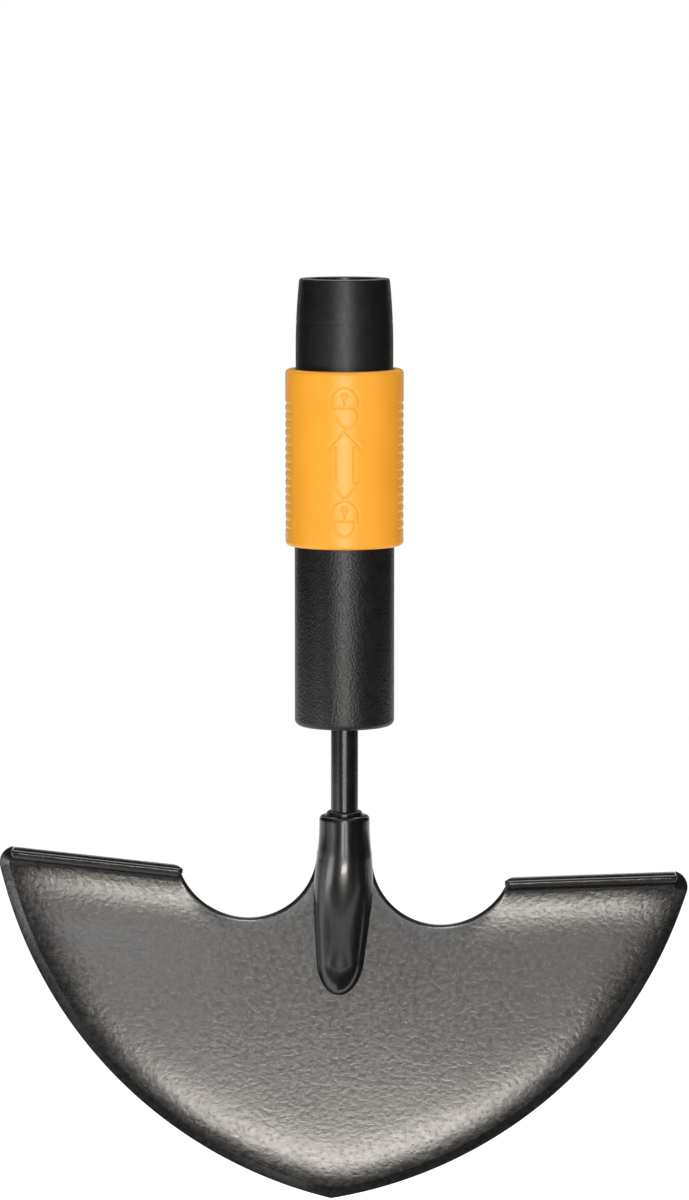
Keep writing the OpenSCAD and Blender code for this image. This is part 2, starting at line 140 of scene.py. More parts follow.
def rounded(corners, steps=6):
    """Closed outline through corners of (r, z, radius), each rounded by its radius."""
    outline = []
    for i, (x, y, radius) in enumerate(corners):
        here = Vector((x, y))
        if radius == 0:
            outline.append(here)
            continue
        back = (Vector(corners[i - 1][:2]) - here).normalized()
        ahead = (Vector(corners[(i + 1) % len(corners)][:2]) - here).normalized()
        half = back.angle(ahead) / 2
        centre = here + (back + ahead).normalized() * radius / math.sin(half)
        first = (here + back * radius / math.tan(half) - centre).normalized()
        last = (here + ahead * radius / math.tan(half) - centre).normalized()
        outline += [centre + radius * first.slerp(last, k / steps) for k in range(steps + 1)]
    return outline


def lathe_points(outline, angles):
    """Rings of points, one outline for each angle."""
    return np.array([(r * math.cos(a), r * math.sin(a), z) for a in angles for r, z in outline])


def lathe_faces(rings, per_ring):
    """Faces between the rings of a closed outline that goes once round."""
    faces = []
    for i in range(rings):
        a, b = i * per_ring, (i + 1) % rings * per_ring
        for j in range(per_ring):
            k = (j + 1) % per_ring
            faces.append((a + j, a + k, b + k, b + j))
    return faces


def lathe(name, outline):
    """Ring-shaped piece with a closed outline of (r, z)."""
    angles = [TURN * i / RING_SIDES for i in range(RING_SIDES)]
    return piece_from(name, lathe_points(outline, angles), lathe_faces(RING_SIDES, len(outline)))


def tube_loft(name, rings, sharp_angle=SHARP_ANGLE):
    """Closed piece through rings of points, with a cap at each end."""
    sides = len(rings[0])
    faces = []
    for i in range(len(rings) - 1):
        a, b = i * sides, (i + 1) * sides
        faces += [(a + j, a + (j + 1) % sides, b + (j + 1) % sides, b + j) for j in range(sides)]
    faces.append(tuple(range(sides)))
    faces.append(tuple(range((len(rings) - 1) * sides, len(rings) * sides)))
    return piece_from(name, [p for ring in rings for p in ring], faces, sharp_angle)


def spokes(sides):
    """Cosine and sine of angles spaced evenly once round."""
    return [(math.cos(TURN * j / sides), math.sin(TURN * j / sides)) for j in range(sides)]


def turned_bar(name, path):
    """Solid bar from a path of (r, z), capped at both ends."""
    return tube_loft(name, [[(r * c, r * s, z) for c, s in spokes(BAR_SIDES)] for r, z in path])


def cut_away(piece, cutters):
    """Cuts other pieces out of a piece, and removes them."""
    for cutter in cutters:
        step = piece.modifiers.new("cut", "BOOLEAN")
        step.operation = "DIFFERENCE"
        step.solver = "EXACT"
        step.object = cutter
    bpy.context.view_layer.update()
    shown = piece.evaluated_get(bpy.context.evaluated_depsgraph_get())
    mesh = bpy.data.meshes.new_from_object(shown)
    piece.modifiers.clear()
    piece.data = mesh
    shade_smooth(mesh)
    for cutter in cutters:
        bpy.data.objects.remove(cutter)


def cross_bar(name, radius, start, end, sides=HOLE_SIDES):
    """Round cutter between two points."""
    along = (end - start).normalized()
    side = along.orthogonal().normalized()
    other = along.cross(side)
    arms = [side * c + other * s for c, s in spokes(sides)]
    return tube_loft(name, [[middle + radius * arm for arm in arms] for middle in (start, end)])


# Finishes

# Most of a texture's values lie between these two
TEXTURE_LOW = 0.3
TEXTURE_HIGH = 0.7


def add_node(tree, kind, inputs=None, **settings):
    """New node of a kind, with values for its sockets and its settings."""
    made = tree.nodes.new(kind)
    for key, value in settings.items():
        setattr(made, key, value)
    for key, value in (inputs or {}).items():
        made.inputs[key].default_value = value
    return made


def grey(level):
    """Colour with one level in red, green and blue."""
    return (level, level, level, 1)


class Finish:
    """A procedural material round one shader, measured in the object's own metres."""

    def __init__(self, name, sockets=None):
        self.material = bpy.data.materials.new(name)
        self.material.use_nodes = True
        self.tree = self.material.node_tree
        self.shader = self.tree.nodes["Principled BSDF"]
        for socket, value in (sockets or {}).items():
            self.shader.inputs[socket].default_value = value
        self.place = add_node(self.tree, "ShaderNodeTexCoord").outputs["Object"]
        self.normal = None

    def stretched(self, scale):
        """Coordinates stretched by a scale for each axis."""
        mapping = add_node(self.tree, "ShaderNodeMapping", {"Scale": scale})
        self.tree.links.new(self.place, mapping.inputs["Vector"])
        return mapping.outputs["Vector"]

    def noise(self, size, detail=3.0, distortion=0.0, place=None):
        """Noise whose features are about as large as size."""
        inputs = {"Scale": 1 / size, "Detail": detail, "Distortion": distortion}
        made = add_node(self.tree, "ShaderNodeTexNoise", inputs)
        self.tree.links.new(place or self.place, made.inputs["Vector"])
        return made.outputs["Fac"]

    def cells(self, size, smoothness):
        """Rounded cells about as large as size."""
        inputs = {"Scale": 1 / size, "Smoothness": smoothness}
        made = add_node(self.tree, "ShaderNodeTexVoronoi", inputs, feature="SMOOTH_F1")
        self.tree.links.new(self.place, made.inputs["Vector"])
        return made.outputs["Distance"]

    def colour(self, value, low, high):
        """Base colour between two colours, by a texture's value."""
        made = add_node(self.tree, "ShaderNodeValToRGB")
        first, last = made.color_ramp.elements
        first.position, first.color = TEXTURE_LOW, low
        last.position, last.color = TEXTURE_HIGH, high
        self.tree.links.new(value, made.inputs["Fac"])
        self.tree.links.new(made.outputs["Color"], self.shader.inputs["Base Color"])

    def roughness(self, value, low, high):
        """Roughness between two levels, by a texture's value."""
        inputs = {"From Min": TEXTURE_LOW, "From Max": TEXTURE_HIGH, "To Min": low, "To Max": high}
        made = add_node(self.tree, "ShaderNodeMapRange", inputs)
        self.tree.links.new(value, made.inputs["Value"])
        self.tree.links.new(made.outputs["Result"], self.shader.inputs["Roughness"])

    def bump(self, value, depth, strength=1.0):
        """One more layer of relief, depth being its height."""
        made = add_node(self.tree, "ShaderNodeBump", {"Strength": strength, "Distance": depth})
        self.tree.links.new(value, made.inputs["Height"])
        if self.normal:
            self.tree.links.new(self.normal, made.inputs["Normal"])
        self.normal = made.outputs["Normal"]
        self.tree.links.new(self.normal, self.shader.inputs["Normal"])


def wrinkle_coat():
    """Satin black powder coat with a fine leathery wrinkle."""
    made = Finish("wrinkle_coat")
    wrinkle = made.noise(2.0 * MM, detail=1, distortion=0.4, place=made.stretched((1, 1, 1.2)))
    made.colour(wrinkle, grey(0.008), grey(0.015))
    made.roughness(wrinkle, 0.175, 0.23)
    made.bump(made.noise(40 * MM, detail=2), 0.4 * MM, 0.3)
    made.bump(wrinkle, 0.042 * MM, 1.0)
    return made.material


def gloss_paint():
    """Smooth gloss black paint with a slight unevenness."""
    made = Finish("gloss_paint", {"Specular IOR Level": 0.6, "Coat Weight": 0.3, "Coat Roughness": 0.08})
    run = made.noise(9 * MM, place=made.stretched((1, 1, 0.35)))
    made.colour(made.noise(6 * MM), grey(0.004), grey(0.008))
    made.roughness(run, 0.20, 0.29)
    made.bump(run, 0.15 * MM, 0.25)
    return made.material


def grained_plastic():
    """Black plastic with a fine pebble grain."""
    made = Finish("grained_plastic")
    grain = made.cells(0.9 * MM, smoothness=0.6)
    made.colour(made.noise(7 * MM, detail=4), grey(0.004), grey(0.008))
    made.roughness(made.noise(2 * MM, detail=4), 0.38, 0.48)
    made.bump(grain, 0.16 * MM, 0.8)
    return made.material


def smooth_plastic():
    """Smooth matt black plastic."""
    made = Finish("smooth_plastic")
    made.colour(made.noise(9 * MM, detail=4), grey(0.004), grey(0.007))
    made.roughness(made.noise(3 * MM, detail=5), 0.42, 0.52)
    made.bump(made.noise(0.5 * MM, detail=2), 0.02 * MM, 0.4)
    return made.material


def orange_plastic():
    """Satin orange plastic."""
    made = Finish("orange_plastic")
    made.colour(made.noise(12 * MM), (0.85, 0.345, 0.019, 1), (0.88, 0.372, 0.023, 1))
    made.roughness(made.noise(8 * MM, detail=2), 0.34, 0.40)
    made.bump(made.noise(6 * MM, detail=1), 0.02 * MM, 0.3)
    return made.material


def bright_steel():
    """Zinc-plated steel with faint drawing marks."""
    made = Finish("bright_steel", {"Metallic": 1.0})
    made.colour(made.noise(2 * MM, detail=4), grey(0.52), grey(0.68))
    made.roughness(made.noise(1.2 * MM, detail=4), 0.22, 0.36)
    return made.material


def anodised():
    """Black anodised aluminium with turning marks."""
    made = Finish("anodised", {"Metallic": 0.7})
    marks = made.noise(1.2 * MM, place=made.stretched((0.15, 0.15, 1)))
    made.colour(made.noise(5 * MM), grey(0.045), grey(0.06))
    made.roughness(marks, 0.30, 0.42)
    made.bump(marks, 0.01 * MM, 0.3)
    return made.material


def nylon():
    """Plain grey nylon."""
    made = Finish("nylon")
    made.colour(made.noise(4 * MM, detail=4), grey(0.30), grey(0.36))
    made.roughness(made.noise(2 * MM), 0.45, 0.55)
    return made.material


FINISHES = {
    make.__name__: make()
    for make in (
        wrinkle_coat, gloss_paint, grained_plastic, smooth_plastic, orange_plastic,
        bright_steel, anodised, nylon,
    )
}
SLOTS = {part["node"]: part["material_slot"] for part in record["subparts"]}
BODIES = {node: body for body, nodes in record["behaviour"]["bodies"].items() for node in nodes}

for name, solid in frame["nodes"].items():
    solid.data.materials.clear()
    solid.data.materials.append(FINISHES[SLOTS[name]])


def stand_for(piece, node):
    """Lets a piece take a solid's place, with its body and its finish."""
    piece.data.materials.clear()
    piece.data.materials.append(FINISHES[SLOTS[node]])
    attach(piece, BODIES[node])
    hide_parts(node)
    return piece


# Mouth and shank

def mouth_ring():
    """Smooth mouth that swells towards the collar, with a rounded rim and one faint moulding line."""
    top_r = 16.8 * MM
    flare_l = 26 * MM
    rim_round, bore_round = 0.6 * MM, 0.4 * MM
    top_round, top_set = 0.9 * rim_round, 0.1 * MM
    line_z, line_w, line_depth = -16 * MM, 0.5 * MM, 0.12 * MM
    inner_r = CORE_R + BOND_GAP
    swell = MOUTH_R - top_r
    curve_r = (flare_l ** 2 + swell ** 2) / (2 * swell)
    start = math.degrees(math.asin((flare_l - rim_round) / curve_r))
    flare = arc((MOUTH_R - curve_r, -flare_l), curve_r, start, 0, steps=60)
    for point in flare:
        point.x -= line_depth * max(0, 1 - abs(point.y - line_z) / line_w)
    rim = rounded([(flare[0].x - top_set, 0, top_round), (inner_r, 0, bore_round), (inner_r, -flare_l, 0)])
    rim = [p for p in rim if p.y > -flare_l / 2]
    low = [Vector((MOUTH_R, MOUTH_LOW)), Vector((inner_r, MOUTH_LOW))]
    return lathe("mouth_ring", flare + low + rim[::-1])


def sleeve_shell():
    """Grained sleeve with a rounded lower end and a hole for the rod."""
    edge_r, top_edge, hole_edge = 2.3 * MM, 0.5 * MM, 0.4 * MM
    hole_r = ROD_R + SLIDE_GAP
    inner_r = CORE_R + BOND_GAP
    return lathe("sleeve_shell", rounded([
        (SLEEVE_R, SLEEVE_TOP, top_edge),
        (SLEEVE_R, SLEEVE_LOW, edge_r),
        (hole_r, SLEEVE_LOW, hole_edge),
        (hole_r, CORE_LOW, 0),
        (inner_r, CORE_LOW, 0),
        (inner_r, SLEEVE_TOP, top_edge),
    ]))


def pin_cutters():
    """Cutters for the two cross pins' holes."""
    radius = (PIN_HIGH.y - PIN_LOW.y) / 2 + BOND_GAP
    past_tube = 1.2
    reach = past_tube * CORE_R
    return [
        cross_bar("pin_hole", radius, Vector((-reach, 0, z)), Vector((reach, 0, z)))
        for z in (PIN_HIGH.z - radius + BOND_GAP, PIN_LOW.z + radius - BOND_GAP)
    ]


def ball_middle(number):
    """Centre and radius of a locking ball."""
    low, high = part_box(f"lock_ball_{number}")
    return (low + high) / 2, (high.z - low.z) / 2


def bore_tube():
    """Core tube with its relieved bore, the ball pockets, the stop ring's groove and the pin holes."""
    relief = 0.4 * MM
    ring_seat = 0.6 * MM
    pocket_gap, pocket_floor = 0.2 * MM, 0.6
    edge = 0.3 * MM
    groove_r = CORE_R - ring_seat
    tube = lathe("bore_tube", rounded([
        (CORE_R, 0, edge),
        (CORE_R, FLANGE_LOW + BOND_GAP, 0),
        (groove_r, FLANGE_LOW + BOND_GAP, 0),
        (groove_r, RING_LOW - BOND_GAP, 0),
        (CORE_R, RING_LOW - BOND_GAP, 0),
        (CORE_R, CORE_LOW, edge),
        (BORE_R + relief, CORE_LOW, edge),
        (BORE_R + relief, FLANGE_TOP, 0),
        (BORE_R, FLANGE_TOP, 0),
        (BORE_R, 0, edge),
    ], steps=3))
    cutters = pin_cutters()
    for number in BALLS:
        middle, radius = ball_middle(number)
        out = Vector((middle.x, middle.y, 0)).normalized()
        start, end = middle - pocket_floor * radius * out, middle + CORE_R * out
        cutters.append(cross_bar("pocket", radius + pocket_gap, start, end))
    cut_away(tube, cutters)
    return tube


# Lock collar

# Rounding and rows of its outer face, grip ribs and sunk signs, with angles in degrees
COLLAR_EDGE_R = 1.6 * MM
COLLAR_ROW = 0.25 * MM
RIB_START = 12.8 * MM
RIB_PITCH = 3.1 * MM
RIB_COUNT = 15
RIB_DEPTH = 0.34 * MM
RIB_GROOVE = 0.34
RIB_HALF_ANGLE = 27
RIB_FADE = 4
SIGN_W = 11.4 * MM
SIGN_LINE = 0.7 * MM
SIGN_DEPTH = 0.3 * MM


def collar_angles():
    """Angles round the collar, close together in front, where the signs are."""
    front_angle, sign_half = -90, 22
    fine, coarse = 0.4, 2.0
    front = np.arange(front_angle - sign_half, front_angle + sign_half, fine)
    rest = np.arange(front_angle + sign_half, front_angle + 360 - sign_half, coarse)
    return np.radians(np.concatenate([front, rest]))


def padlock_sign(swing):
    """Strokes of a padlock with its bow below."""
    dome_r, base, bow_r = 0.46 * SIGN_W, 0.2 * SIGN_W, 0.34 * SIGN_W
    leg, hole_r = 0.16 * SIGN_W, 0.09 * SIGN_W
    body = arc((0, 0), dome_r, 0, 180, steps=24)
    body += [Vector((-dome_r, -base)), Vector((dome_r, -base)), Vector((dome_r, 0))]
    hole = arc((0, 2 * hole_r), hole_r, -90, 270, steps=12)
    stem = [Vector((0, hole_r)), Vector((0, -hole_r))]
    bow = [Vector((bow_r, 0))] + arc((0, -leg), bow_r, 0, -180, steps=20) + [Vector((-bow_r, 0))]
    turn = math.radians(swing)
    hinge = Vector((bow_r, 0))
    swung = []
    for point in bow:
        arm = point - hinge
        arm = Vector((
            arm.x * math.cos(turn) - arm.y * math.sin(turn),
            arm.x * math.sin(turn) + arm.y * math.cos(turn),
        ))
        swung.append(hinge + arm + Vector((0, -base)))
    return [body, hole, stem, swung]


def arrow_sign():
    """Stroke of an arrow with a head at both ends."""
    half, head, shaft = 1.1 * SIGN_W, 0.54 * SIGN_W, 0.31 * SIGN_W
    quarter = [(0, half), (head, half - head), (shaft, half - head)]
    right = quarter + [(x, -z) for x, z in quarter[::-1]]
    return [[Vector(p) for p in right + [(-x, z) for x, z in right[::-1]]]]


def sign_strokes():
    """All strokes, in the flat seen from the front."""
    open_share, arrow_share, shut_share = 0.165, 0.52, 0.80
    open_swing = 28
    length = COLLAR_TOP - COLLAR_LOW
    signs = (
        (open_share, padlock_sign(open_swing)),
        (arrow_share, arrow_sign()),
        (shut_share, padlock_sign(0)),
    )
    return [
        np.array([(p.x, p.y + COLLAR_TOP - share * length) for p in stroke])
        for share, strokes in signs for stroke in strokes
    ]


def stroke_distance(points, strokes):
    """Least distance from each flat point to any of the strokes."""
    least_run = 1e-18
    best = np.full(len(points), np.inf)
    for stroke in strokes:
        for a, b in zip(stroke[:-1], stroke[1:]):
            run = b - a
            share = np.clip(((points - a) @ run) / max(run @ run, least_run), 0, 1)
            best = np.minimum(best, np.linalg.norm(points - a - share[:, None] * run, axis=1))
    return best


def smooth(share):
    """Share from 0 to 1 that starts and ends gently."""
    share = np.clip(share, 0, 1)
    return share * share * (3 - 2 * share)


def collar_depth(points):
    """How far the collar's outer face is sunk at each of its points."""
    angle = np.degrees(np.arctan2(points[:, 1], np.abs(points[:, 0])))
    across = smooth((RIB_HALF_ANGLE - np.abs(angle)) / RIB_FADE)
    count = (COLLAR_TOP - RIB_START - points[:, 2]) / RIB_PITCH
    nearest = np.clip(np.round(count), 0, RIB_COUNT)
    groove = np.clip(1 - np.abs(count - nearest) / RIB_GROOVE, 0, 1)
    depth = RIB_DEPTH * across * smooth(groove)

    # A sign's line is at its full depth up to a quarter of its width, and ends at three quarters
    front_share, full, none = 0.8, 0.25, 0.75
    front = points[:, 1] < -front_share * COLLAR_R
    away = stroke_distance(points[front][:, [0, 2]], sign_strokes()) / SIGN_LINE
    depth[front] += SIGN_DEPTH * smooth((none - away) / (none - full))
    return depth


def collar_grip():
    """Orange collar with rounded grip ribs, sunk signs, its spring room, ramp and skirt."""
    bore_r = MOUTH_R + SLIDE_GAP
    flange_r = CORE_R + SLIDE_GAP
    skirt_r = SLEEVE_R + SLIDE_GAP
    bore_edge, flange_edge, skirt_edge = 0.6 * MM, 0.3 * MM, 0.5 * MM
    skin, corner_steps = 0.5 * MM, 8
    middle, ball_r = ball_middle(1)
    ramp_ratio = record["behaviour"]["couplings"][0]["ratio"]
    ramp_r = skirt_r - (middle.z - SLEEVE_TOP) * ramp_ratio
    ramp_low = middle.z - COLLAR_TRAVEL - ball_r
    outline = rounded([
        (COLLAR_R, COLLAR_TOP, COLLAR_EDGE_R),
        (COLLAR_R, COLLAR_LOW, COLLAR_EDGE_R),
        (skirt_r, COLLAR_LOW, skirt_edge),
        (skirt_r, ramp_low, 0),
        (ramp_r + (middle.z - ramp_low) * ramp_ratio, ramp_low, 0),
        (ramp_r - (FLANGE_LOW - middle.z) * ramp_ratio, FLANGE_LOW, 0),
        (flange_r, FLANGE_LOW, flange_edge),
        (flange_r, FLANGE_TOP, flange_edge),
        (bore_r, FLANGE_TOP, 0),
        (bore_r, COLLAR_TOP, bore_edge),
    ], corner_steps)
    face_top, face_low = COLLAR_TOP - COLLAR_EDGE_R, COLLAR_LOW + COLLAR_EDGE_R
    rows = int((face_top - face_low) / COLLAR_ROW)
    face = [Vector((COLLAR_R, z)) for z in np.linspace(face_top, face_low, rows)[1:-1]]
    first_edge = corner_steps + 1
    outline = outline[:first_edge] + face + outline[first_edge:]
    angles = collar_angles()
    points = lathe_points(outline, angles)
    reach = np.linalg.norm(points[:, :2], axis=1)
    outer = reach > COLLAR_R - skin
    shrink = 1 - collar_depth(points[outer]) / reach[outer]
    points[outer, :2] *= shrink[:, None]
    return piece_from("collar_grip", points, lathe_faces(len(angles), len(outline)), sharp_angle=50)


# Return spring and balls

def coil_spring():
    """Wound wire of the return spring."""
    wire_r, turns, per_turn, sides = 0.8 * MM, 6, 40, 12
    low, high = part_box("lock_spring")
    middle_r = high.x - wire_r
    top, rise = high.z - wire_r, high.z - low.z - 2 * wire_r
    steps = turns * per_turn
    rings = []
    for i in range(steps + 1):
        a = TURN * i / per_turn
        out = Vector((math.cos(a), math.sin(a), 0))
        middle = middle_r * out + Vector((0, 0, top - rise * i / steps))
        rings.append([middle + wire_r * (out * c - Vector((0, 0, s))) for c, s in spokes(sides)])
    return tube_loft("coil_spring", rings)


def ball(number):
    """Polished locking ball."""
    middle, radius = ball_middle(number)
    work = bmesh.new()
    bmesh.ops.create_uvsphere(work, u_segments=32, v_segments=20, radius=radius)
    bmesh.ops.translate(work, verts=work.verts, vec=middle)
    points = [tuple(v.co) for v in work.verts]
    faces = [tuple(v.index for v in f.verts) for f in work.faces]
    work.free()
    return piece_from(f"ball_{number}", points, faces)


# Tang

NECK_DROP = 16 * MM
NECK_Z = BOSS_TOP - NECK_DROP
BLADE_ROLL = math.radians(2.2)
BLADE_FRONT = 6.2 * MM


def tang_bar():
    """Painted rod, with its ends broken and the cross pins' holes."""
    edge = 0.5 * MM
    bar = turned_bar("tang_bar", [
        (ROD_R - edge, ROD_TOP), (ROD_R, ROD_TOP - edge), (ROD_R, ROD_LOW + edge), (ROD_R - edge, ROD_LOW),
    ])
    cut_away(bar, pin_cutters())
    return bar


def weld_bead():
    """Weld bead round the rod, laid in overlapping scales."""
    inner_r = ROD_R + BOND_GAP
    leg, rise = WELD_R - inner_r, WELD_TOP - WELD_LOW
    scales, sides, steps = 16, 256, 10
    scale_depth, hollow = 0.05, 0.25
    points = []
    for i in range(sides):
        a = TURN * i / sides
        phase = (a * scales / TURN) % 1
        swell = 1 - scale_depth + scale_depth * cap_round(2 * phase - 1)
        ring = [(inner_r, WELD_LOW)]
        for k in range(steps + 1):
            b = math.pi / 2 * k / steps
            crown = (1 + math.sin(2 * b)) / 2
            reach = swell * (1 - hollow + hollow * crown)
            ring.append((inner_r + leg * reach * math.cos(b), WELD_LOW + rise * reach * math.sin(b)))
        points += [(r * math.cos(a), r * math.sin(a), z) for r, z in ring]
    return piece_from("weld_bead", points, lathe_faces(sides, steps + 2), sharp_angle=60)


def ease(value, start, end):
    """Gentle share of the way from start to end."""
    return float(smooth((value - start) / (end - start)))


def cap_round(share):
    """Half width of a round end, at a share of the way from its middle to its edge."""
    return math.sqrt(max(0, 1 - share * share))


def tang_boss():
    """Forged boss: a round socket that widens, flattens and runs out on the blade's face."""
    steps, cap_steps, even_share = 140, 8, 0.5
    radius, length, edge_r = 9.5 * MM, BOSS_TOP - BOSS_LOW, 1.6 * MM
    flare_start, flare_end, toe_start, fall_start = 0.06, 0.38, 0.82, 0.18
    flare, toe, toe_front = 1.165, 0.88, 0.4 * MM
    point_r = 0.4 * MM

    def ring(z, width, front, middle):
        """Oval at a height, by its half width, how far it stands forward and its middle."""
        lean = min(0, z - NECK_Z) * math.tan(BLADE_ROLL)
        return [(lean + width * c, middle + (front + middle) * s, z) for c, s in spokes(BAR_SIDES)]

    rings = []
    for k in range(cap_steps):
        a = math.radians(90 * k / cap_steps)
        r = radius - edge_r * (1 - math.sin(a))
        rings.append(ring(BOSS_TOP - edge_r * (1 - math.cos(a)), r, r, 0))
    for i in range(steps + 1):
        # Rings are evenly spaced at first, then ever closer towards the toe
        u = i / steps
        if u > even_share:
            u = even_share + even_share * math.sin(math.pi * (u - even_share))
        t = edge_r / length + (1 - edge_r / length) * u
        closing = cap_round(max(0, (t - toe_start) / (1 - toe_start)))
        swell = (flare - 1) * ease(t, flare_start, flare_end) - (flare - toe) * ease(t, flare_end, 1)
        width = radius * (1 + swell) * closing
        front = radius + (toe_front - radius) * ease(t, fall_start, 1)
        front += (-BLADE_FRONT - front) * (1 - closing)
        middle = BLADE_FRONT * ease(t, fall_start, 1)
        small = point_r if i == steps else 0
        rings.append(ring(BOSS_TOP - length * t, max(width, small), max(front, small - middle), middle))
    boss = tube_loft("tang_boss", rings, sharp_angle=60)
    seat_low, seat_top = Vector((0, 0, ROD_LOW - BOND_GAP)), Vector((0, 0, BOSS_TOP + edge_r))
    rod_seat = cross_bar("rod_seat", ROD_R + BOND_GAP, seat_low, seat_top, BAR_SIDES)
    cut_away(boss, [neck_cutter(), rod_seat])
    return boss


def blade_place(x, y, v):
    """A point of the blade's own frame, in metres, in the shared frame."""
    c, s = math.cos(BLADE_ROLL), math.sin(BLADE_ROLL)
    return (x * c + v * s, y, NECK_Z - x * s + v * c)


def neck_cutter():
    """Prism of the blade's neck and face, which the boss is seated on."""
    reach, depth, length = 30 * MM, 30 * MM, 120 * MM
    outline = [Vector((-reach, -length)), Vector((reach, -length)), Vector((reach, 0))]
    outline += neck_dome(BOND_GAP) + [Vector((-reach, 0))]
    rings = [[blade_place(p.x, y, p.y) for p in outline] for y in (BLADE_FRONT, BLADE_FRONT + depth)]
    return tube_loft("neck_cutter", rings)


# Blade, in its own frame of millimetres: x across, v up from the neck, depth back from the front face

# Sheet, and its two cutting edges with their bevel and the roll-off behind it
SHEET = 2.5
BLADE_H = 133
EDGE_R = 169
EDGE_SET = 34.0
EDGE_CENTRE = np.array([-EDGE_SET, math.sqrt(EDGE_R ** 2 - EDGE_SET ** 2) - BLADE_H])
BEVEL_W = 3.8
EDGE_LAND = 0.3
ROLL_W = 40.0
ROLL_DEPTH = 1.0
ROLL_POWER = 6
ROLL_END = 0.35
ROLL_TAPER = 45.0
ROLL_ROWS = (0, 0.5, 1.2, 2.0, 3.0, 4.2, 5.6, 7.4, 9.6, 12.2, 15.2, 18.6, 22.5, 27, 32, 37)

# Corners, cut-outs and neck
CORNER_R = 6.5
CORNER_DROP = 0.7
CUTOUT_R = 25.8
CUTOUT_OUT_R = 26.9
NECK_R = 10.4
NECK_DOME = 6.0

# Treads: their top line, bend, nose and ends, the ease below them and the slits beside them
TREAD_DROP = 5.4
TREAD_FALL = math.radians(4.2)
LEDGE = 7.7
BEND_R = 5.0
EASE_L = 26.0
EASE_FADE = 21.0
EASE_ANGLE = math.radians(9)
BEND_ANGLE = math.radians(84)
NOSE_ANGLE = math.radians(101)
TREAD_OVER = 1.8
CUT_RISE = 1.4
END_SET = 0.7
SLIT = 0.25
SLIT_RISE = 2.6

# Rounding of the edges, its spread at the cut-outs' rims, and room kept free of inner points
FREE_ROUND = 0.9
EDGE_ROUND = 0.1
NOSE_ROUND = 0.8
RIM_SPREAD = 1.9
ROOM = 2.2

# Lines and lengths that follow
CUTOUT_X = NECK_R + CUTOUT_R
ALONG = np.array([math.cos(TREAD_FALL), math.sin(TREAD_FALL)])
UP = np.array([-math.sin(TREAD_FALL), math.cos(TREAD_FALL)])
BEND_ARC = (BEND_R + SHEET / 2) * (BEND_ANGLE - EASE_ANGLE)
TREAD_RISE = BEND_ARC + LEDGE

# Mid line of the bent sheet: way along it, its angle, and how far it has gone up and forward
BEND_POINTS = 1200
BEND_WAY = np.linspace(-EASE_L, TREAD_RISE, BEND_POINTS)
BEND_TURN = np.interp(BEND_WAY, [0, BEND_ARC, TREAD_RISE], [EASE_ANGLE, BEND_ANGLE, NOSE_ANGLE])
BEND_TURN = np.where(BEND_WAY < 0, EASE_ANGLE * (1 + np.minimum(BEND_WAY, 0) / EASE_L) ** 2, BEND_TURN)
BEND_STEP = BEND_WAY[1] - BEND_WAY[0]
BEND_UP = np.cumsum(np.cos(BEND_TURN)) * BEND_STEP - EASE_L
BEND_FORWARD = np.cumsum(np.sin(BEND_TURN)) * BEND_STEP
BEND_DROP = (BEND_UP + SHEET / 2 * np.sin(BEND_TURN)).max()
LINE_START = np.array([CUTOUT_X + CUTOUT_R, -TREAD_DROP])


def neck_dome(grow):
    """Top of the blade's neck as an arc, in metres."""
    steps = 24
    angles = [math.pi * k / steps for k in range(steps + 1)]
    rx, rz = NECK_R * MM + grow, NECK_DOME * MM + grow
    return [Vector((rx * math.cos(a), rz * math.sin(a))) for a in angles]


def below_tread(drop, radius):
    """Point at a depth below the tread's top line and a radius from the cutting edge's centre."""
    start = LINE_START - drop * UP
    rel = start - EDGE_CENTRE
    half = rel @ ALONG
    return start + ALONG * (math.sqrt(half * half - rel @ rel + radius * radius) - half)


CORNER = below_tread(CORNER_R + CORNER_DROP, EDGE_R - CORNER_R)
CORNER_ANGLE = math.atan2(*(CORNER - EDGE_CENTRE)[::-1])
TIP_ANGLE = math.atan2(-BLADE_H - EDGE_CENTRE[1], -EDGE_CENTRE[0])
TREAD_END = (CORNER - LINE_START) @ ALONG + TREAD_OVER

# Heights of the rows of inner points over the ease, the bend and the tread
ROW_GAP = 1.0
NOSE_GAP = 1.6
TREAD_ROWS = np.concatenate([
    np.linspace(-EASE_L, -ROW_GAP, 12),
    np.linspace(0, BEND_ARC, 14),
    np.linspace(BEND_ARC + ROW_GAP, TREAD_RISE - NOSE_GAP, 6),
])


def tread_point(along, rise):
    """Point by its distance along the tread and above the bend, in the sheet laid flat."""
    return LINE_START + along * ALONG + (rise - BEND_DROP) * UP


def around(centre, radius, start, end, steps):
    """Arc between two angles in radians, as an array of points."""
    angles = np.linspace(start, end, steps + 1)
    radii = np.broadcast_to(radius, 2)
    return np.stack([centre[0] + radii[0] * np.cos(angles), centre[1] + radii[1] * np.sin(angles)], 1)


def cutout_side(drop):
    """Angle and point on the outer side of a cut-out, at a depth below its centre."""
    angle = -math.asin(drop / CUTOUT_R)
    return angle, np.array([CUTOUT_X + CUTOUT_OUT_R * math.cos(angle), CUTOUT_R * math.sin(angle)])


